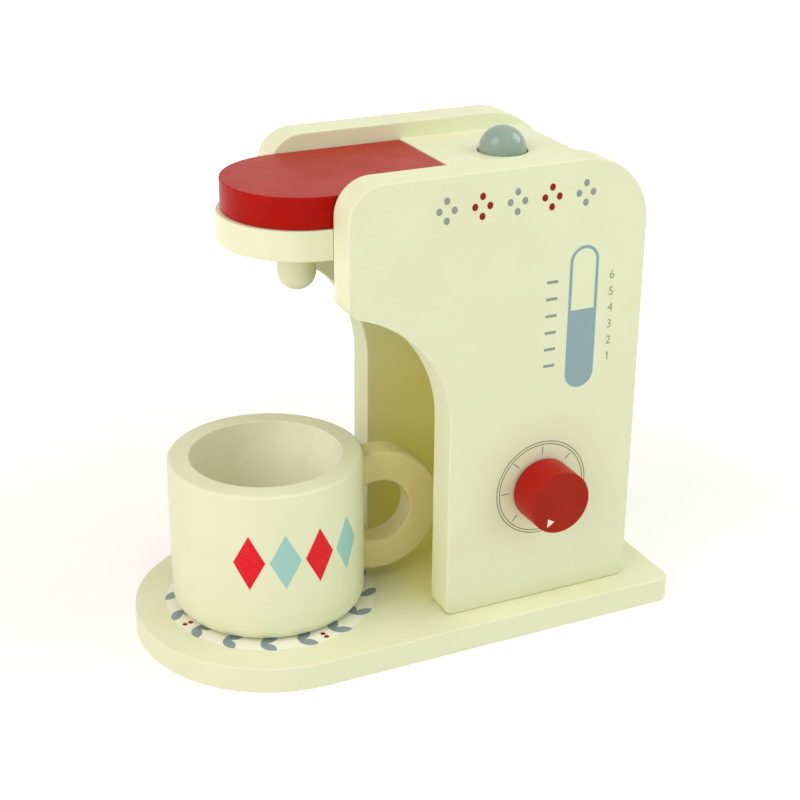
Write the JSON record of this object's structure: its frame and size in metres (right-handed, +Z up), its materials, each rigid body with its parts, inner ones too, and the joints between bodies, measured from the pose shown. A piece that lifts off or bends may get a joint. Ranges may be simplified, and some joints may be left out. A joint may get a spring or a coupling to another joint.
{
  "type": "toy coffee maker",
  "caption": "Toy coffee maker in painted wood: a shelf with a spout between two side panels, a hinged lid, a push button, a turning knob and a loose cup on a base board.",
  "frame": {"origin": "on the table, under the middle of the base board", "axes": "+Z up; +X along the base from the cup end to the tower; -Y is the side with the knob and the gauge"},
  "size_m": [0.183, 0.1017, 0.1687],
  "materials": {
    "cream_paint": "satin cream paint on smooth board",
    "red_paint": "satin red paint on wood, faint grain",
    "grey_blue_paint": "glossy grey-blue paint",
    "bare_wood": "bare turned beech",
    "steel": "zinc-plated",
    "felt": "pressed felt"
  },
  "bodies": {
    "frame": {"base_board": "cream_paint", "dial_side_panel": "cream_paint", "plain_side_panel": "cream_paint", "back_panel": "cream_paint", "brew_shelf": "cream_paint", "top_board": "cream_paint", "lid_hinge_pins": "steel", "spout": "cream_paint", "button_spring": "steel", "knob_washer": "felt", "shelf_dowels": "bare_wood", "top_board_dowels": "bare_wood", "back_panel_dowels": "bare_wood", "base_screws": "steel"},
    "lid": {"lid": "red_paint"},
    "button": {"button_cap": "grey_blue_paint"},
    "knob": {"knob": "red_paint", "knob_axle": "bare_wood", "knob_retaining_disc": "bare_wood"},
    "cup": {"cup_body": "cream_paint", "cup_handle": "cream_paint", "cup_handle_dowels": "bare_wood"}
  },
  "joints": [
    {"name": "lid_hinge", "type": "hinge", "parent": "frame", "child": "lid", "pos_m": [0.00833, 0, 0.1576], "axis": [0, 1, 0], "range_deg": [0, 145]},
    {"name": "button_press", "type": "slide", "parent": "frame", "child": "button", "axis": [0, 0, -1], "range_m": [0, 0.003], "stiffness_N_per_m": 300, "springref_m": -0.004, "deforming": ["button_spring"]},
    {"name": "knob_turn", "type": "hinge", "parent": "frame", "child": "knob", "pos_m": [0.041, -0.03925, 0.0515], "axis": [0, 1, 0], "continuous": true},
    {"name": "cup_lift_out", "type": "slide", "parent": "frame", "child": "cup", "axis": [-0.9397, 0, 0.342], "range_m": [0, 0.12]}
  ]
}
